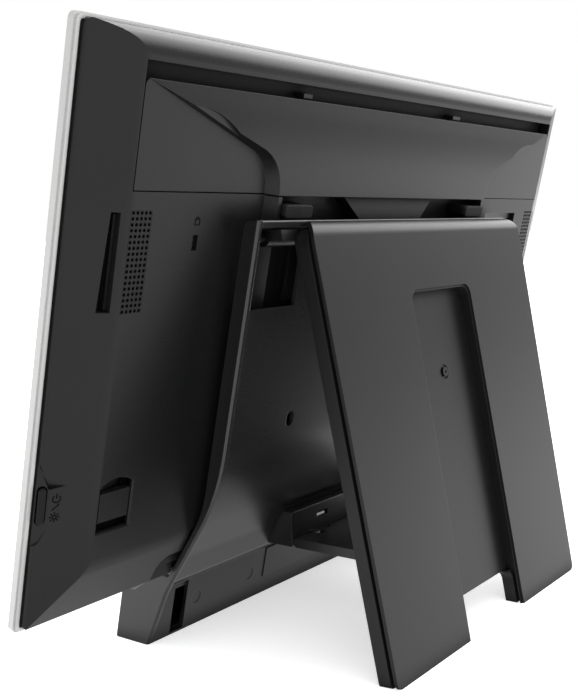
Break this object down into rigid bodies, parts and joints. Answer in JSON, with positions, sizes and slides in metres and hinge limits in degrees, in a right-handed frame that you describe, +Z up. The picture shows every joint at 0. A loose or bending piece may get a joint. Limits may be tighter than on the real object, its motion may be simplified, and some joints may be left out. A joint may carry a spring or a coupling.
{
  "type": "digital photo frame",
  "caption": "Wide flat display with a silver rim and a black rear cover, held up by a two-panel stand whose rear leg and brace fold in; rear door, latch and power button move.",
  "frame": {"origin": "on the table, at the centre of the object's footprint", "axes": "+X to the side that carries the power button, +Y to the rear, +Z up; the screen faces -Y"},
  "size_m": [0.46, 0.1623, 0.3021],
  "materials": {
    "silver_frame": "satin silver lacquer",
    "dark_frame": "matt black",
    "front_glass": "polished, dark behind",
    "lcd": "dark, switched off",
    "guide": "clear acrylic",
    "steel": "zinc-plated sheet",
    "board": "green solder mask",
    "ribbon": "white film",
    "shell": "finely textured charcoal black",
    "grille": "finely textured black",
    "button": "semi-gloss black",
    "rubber": "soft matte",
    "speaker_case": "black",
    "port": "black connector plastic",
    "stand": "finely textured charcoal black",
    "leg": "finely textured charcoal black",
    "pin_steel": "polished steel",
    "screw_black": "black oxide"
  },
  "bodies": {
    "head": {"front_bezel": "silver_frame", "mid_frame": "dark_frame", "front_glass": "front_glass", "lcd_panel": "lcd", "light_guide": "guide", "inner_chassis": "steel", "main_board": "board", "led_driver_board": "board", "wifi_module": "board", "ribbon_cable": "ribbon", "board_screws": "steel", "rear_cover": "shell", "cover_screws": "steel", "button_switch": "port", "rubber_bumpers": "rubber", "lock_plate": "steel", "card_reader": "port", "usb_block": "port", "connector_block": "port", "grille_left": "grille", "grille_right": "grille", "speaker_left": "speaker_case", "speaker_right": "speaker_case", "stand_plate": "stand", "foot_pads": "rubber", "stand_screws": "screw_black", "hinge_brackets": "screw_black", "hinge_pins": "screw_black", "brace_pin": "pin_steel"},
    "leg": {"leg_front_shell": "leg", "leg_rear_cover": "leg", "leg_screw": "screw_black", "leg_foot_pads": "rubber", "leg_hinge_leaves": "screw_black", "leg_catches": "stand"},
    "brace": {"brace": "stand", "brace_end_pin": "pin_steel"},
    "door": {"back_door": "shell"},
    "latch": {"slide_latch": "shell"},
    "button": {"power_button": "button"}
  },
  "joints": [
    {"name": "leg_fold", "type": "hinge", "parent": "head", "child": "leg", "pos_m": [0, 0.0193, 0.2125], "axis": [-1, 0, 0], "range_deg": [0, 17.5]},
    {"name": "brace_fold", "type": "hinge", "parent": "head", "child": "brace", "pos_m": [0, -0.0184, 0.04075], "axis": [1, 0, 0], "range_deg": [0, 70]},
    {"name": "door_pull", "type": "slide", "parent": "head", "child": "door", "axis": [0, 0.9757, -0.2192], "range_m": [0, 0.05]},
    {"name": "latch_slide", "type": "slide", "parent": "head", "child": "latch", "axis": [0, 0.2192, 0.9757], "range_m": [-0.0042, 0.0026]},
    {"name": "power_button_press", "type": "slide", "parent": "head", "child": "button", "axis": [-0.527, -0.8292, 0.1863], "range_m": [0, 0.0006], "stiffness_N_per_m": 600}
  ],
  "couplings": [
    {"joint": "brace_fold", "follows": "leg_fold", "ratio": 4}
  ]
}
